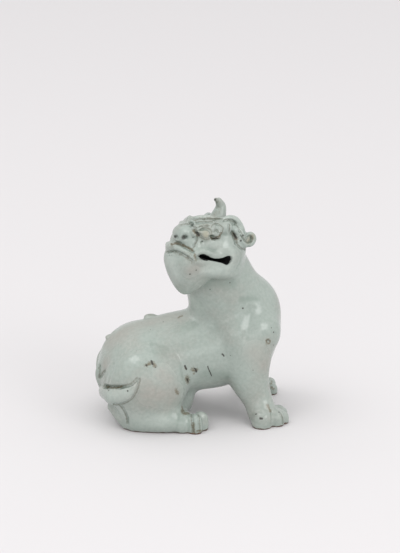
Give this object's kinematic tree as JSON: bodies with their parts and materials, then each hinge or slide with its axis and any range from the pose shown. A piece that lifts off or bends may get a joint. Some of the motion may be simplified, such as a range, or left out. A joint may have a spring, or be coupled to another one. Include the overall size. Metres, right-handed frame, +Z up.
{
  "type": "porcelain qilin figure",
  "caption": "Seated qilin in pale glazed porcelain, its horned head turned back over its shoulder, mouth open, flame-shaped tail laid on the rump.",
  "frame": {"origin": "under the middle of the figure's bounding box, on the surface it stands on", "axes": "+X towards the chest, +Y towards the figure's left side, +Z up; the head looks towards -X and -Y"},
  "size_m": [0.1402, 0.089, 0.165],
  "materials": {
    "glazed_porcelain": "glossy pale blue-green glaze, greyer where it is thin, with brown in the creases and small dark pits"
  },
  "bodies": {
    "root": {"qilin_figure": "glazed_porcelain"}
  },
  "joints": []
}
